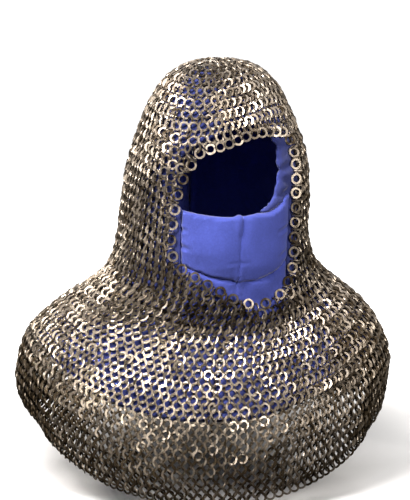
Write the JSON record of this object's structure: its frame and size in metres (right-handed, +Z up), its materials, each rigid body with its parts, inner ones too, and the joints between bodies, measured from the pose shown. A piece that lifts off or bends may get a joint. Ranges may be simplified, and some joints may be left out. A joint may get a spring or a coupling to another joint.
{
  "type": "chainmail coif with padded arming cap",
  "caption": "Mail hood with a mantle flared over the shoulders, worn over a blue padded cap that also covers mouth and chin.",
  "frame": {"origin": "inside of the padded crown, where the wearer's head bears", "axes": "+Z up, the face opening looks along -Y, turned a little towards +X, the wearer's left"},
  "size_m": [0.4577, 0.3315, 0.5116],
  "materials": {
    "mail_steel": "worn, oiled steel rings",
    "blue_cotton": "matt woven cotton, padded and stitched"
  },
  "bodies": {
    "root": {"mail_hood": "mail_steel", "mail_mantle": "mail_steel", "padded_hood_left": "blue_cotton", "padded_hood_right": "blue_cotton", "ventail_left": "blue_cotton", "ventail_right": "blue_cotton", "throat_left": "blue_cotton", "throat_right": "blue_cotton", "padded_mantle_left": "blue_cotton", "padded_mantle_right": "blue_cotton"}
  },
  "joints": []
}
